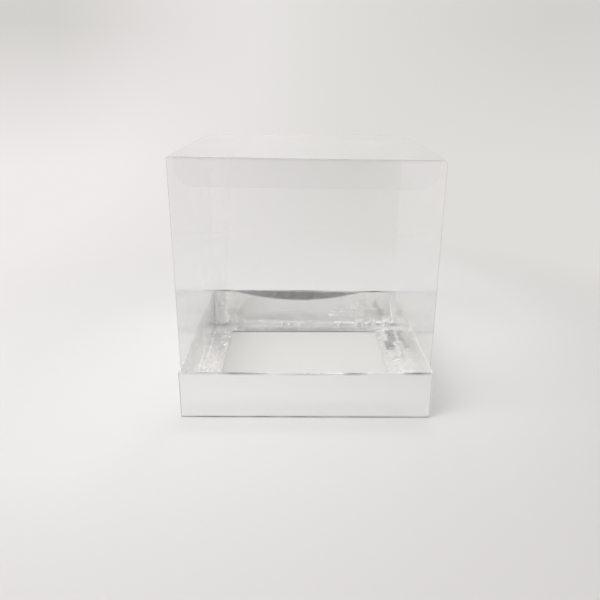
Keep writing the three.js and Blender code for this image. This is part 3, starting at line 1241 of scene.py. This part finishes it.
def paper_material(settings):
    """Pale seamless paper. It is lit round the box, where it holds the shadow, and painted
    brighter beside the tray, to lift the shade there, and in a pool of light. Further off it glows
    with the backdrop's painted tone, as in a light tent."""
    made, tree, place = start_material("Seamless paper")
    fibre = noise_at(tree, place, 700.0, 3.0)
    distance = make_node(
        tree, "ShaderNodeVectorMath", {0: place}, operation="LENGTH").outputs["Value"]
    from_pool = make_node(
        tree, "ShaderNodeVectorMath", {0: place, 1: FLOOR_POOL},
        operation="DISTANCE").outputs["Value"]
    # Painted light: the floor is painted brighter beside the tray and in the pool, not lit
    # brighter there
    off_tray = ranged(tree, distance, *NEAR_EDGE, 0.0, 0.5)
    outward = maths(tree, "MAXIMUM", off_tray, eased(tree, from_pool, *POOL_EDGE))
    pale = blended(tree, outward, settings.painted_light_colour, settings.paper_colour)
    lit = make_node(tree, "ShaderNodeBsdfPrincipled", {
        "Base Color": pale, "Roughness": 0.85, "Specular IOR Level": 0.2,
        "Normal": bumped(tree, fibre, 0.05, FLOOR_GRAIN_DEPTH)})
    tone, strength = backdrop_tone(tree, place, settings)
    glow = make_node(tree, "ShaderNodeEmission", {"Color": tone, "Strength": strength})
    inputs = {0: eased(tree, distance, *GLOW_EDGE), 1: lit.outputs[0], 2: glow.outputs[0]}
    end_material(tree, make_node(tree, "ShaderNodeMixShader", inputs).outputs[0])
    return made


def make_backdrop(settings):
    """A seamless bowl of paper: a flat floor that curves up into a wall all round."""
    profile = [(BOWL_RADIUS * index / 8, 0.0) for index in range(9)]
    profile += arc((BOWL_RADIUS, BOWL_SWEEP), BOWL_SWEEP, 270, 360, 20)[1:]
    profile.append((BOWL_RADIUS + BOWL_SWEEP, BOWL_HEIGHT))
    angles = [2 * math.pi * index / BOWL_TURNS for index in range(BOWL_TURNS + 1)]
    rows = []
    for out, up in profile:
        rows.append([Vector((out * math.cos(angle), out * math.sin(angle), up))
                     for angle in angles])
    made = grid_object("backdrop", rows, {})
    merge_doubles(made)
    made.data.shade_smooth()
    made.data.materials.append(paper_material(settings))


def make_lamp(name, place, size, power):
    lamp = bpy.data.lights.new(name, "AREA")
    lamp.shape = "DISK"
    lamp.size = size
    lamp.energy = power
    made = bpy.data.objects.new(name, lamp)
    made.location = place
    made.rotation_euler = (Vector(LAMP_AIM) - Vector(place)).to_track_quat("-Z", "Y").to_euler()
    bpy.context.scene.collection.objects.link(made)


def make_sky(settings):
    world = bpy.data.worlds.new("Soft sky")
    world.use_nodes = True
    tree = world.node_tree
    tree.nodes.clear()
    sky = make_node(tree, "ShaderNodeBackground", {
        "Color": (0.97, 0.985, 1.0, 1.0), "Strength": settings.sky_strength})
    output = tree.nodes.new("ShaderNodeOutputWorld")
    tree.links.new(sky.outputs[0], output.inputs["Surface"])
    bpy.context.scene.world = world


def make_camera():
    camera = bpy.data.cameras.new("Camera")
    camera.lens = CAMERA_LENS
    camera.sensor_width = CAMERA_FILM
    made = bpy.data.objects.new("Camera", camera)
    made.matrix_world = (
        Matrix.Translation(CAMERA_PLACE)
        @ Matrix.Rotation(-math.radians(CAMERA_YAW), 4, "Z")
        @ Matrix.Rotation(math.radians(90 - CAMERA_PITCH), 4, "X")
        @ Matrix.Rotation(math.radians(CAMERA_ROLL), 4, "Z"))
    bpy.context.scene.collection.objects.link(made)
    bpy.context.scene.camera = made


class GIFTBOX_OT_stage(bpy.types.Operator):
    """Set up the seamless floor and backdrop, the soft lamps and the camera"""

    bl_idname = "giftbox.stage"
    bl_label = "Stage"

    def execute(self, context):
        settings = context.scene.gift_box_stage
        make_backdrop(settings)
        make_sky(settings)
        make_lamp("Key lamp", KEY_PLACE, KEY_SIZE, settings.lamp_power)
        make_lamp("Ceiling lamp", CEILING_PLACE, CEILING_SIZE, settings.ceiling_power)
        make_camera()
        context.scene.view_settings.view_transform = "Standard"
        for name, limit in LIGHT_PATHS.items():
            setattr(context.scene.cycles, name, limit)
        return {"FINISHED"}


class GIFTBOX_PT_pieces(bpy.types.Panel):
    """The pieces of the box and its stage"""

    bl_idname = "GIFTBOX_PT_pieces"
    bl_label = "Clear gift box"
    bl_space_type = "VIEW_3D"
    bl_region_type = "UI"
    bl_category = "Gift box"

    def draw(self, context):
        for operator in OPERATORS:
            self.layout.operator(operator.bl_idname)


OPERATORS = (
    GIFTBOX_OT_tray_floor,
    GIFTBOX_OT_tray_sides,
    GIFTBOX_OT_corner_tabs,
    GIFTBOX_OT_sleeve,
    GIFTBOX_OT_lid_and_flaps,
    GIFTBOX_OT_stage,
)
SETTINGS = {
    "gift_box_tray": TraySettings,
    "gift_box_cover": CoverSettings,
    "gift_box_finish": FinishSettings,
    "gift_box_stage": StageSettings,
}


def register():
    for name, group in SETTINGS.items():
        bpy.utils.register_class(group)
        setattr(bpy.types.Scene, name, bpy.props.PointerProperty(type=group))
    for made in OPERATORS + (GIFTBOX_PT_pieces,):
        bpy.utils.register_class(made)


def unregister():
    for made in reversed(OPERATORS + (GIFTBOX_PT_pieces,)):
        bpy.utils.unregister_class(made)
    for name, group in SETTINGS.items():
        delattr(bpy.types.Scene, name)
        bpy.utils.unregister_class(group)


def main():
    register()
    bpy.ops.giftbox.tray_floor()
    bpy.ops.giftbox.tray_sides()
    bpy.ops.giftbox.corner_tabs()
    bpy.ops.giftbox.sleeve()
    bpy.ops.giftbox.lid_and_flaps()
    bpy.ops.giftbox.stage()


if __name__ == "__main__":
    main()
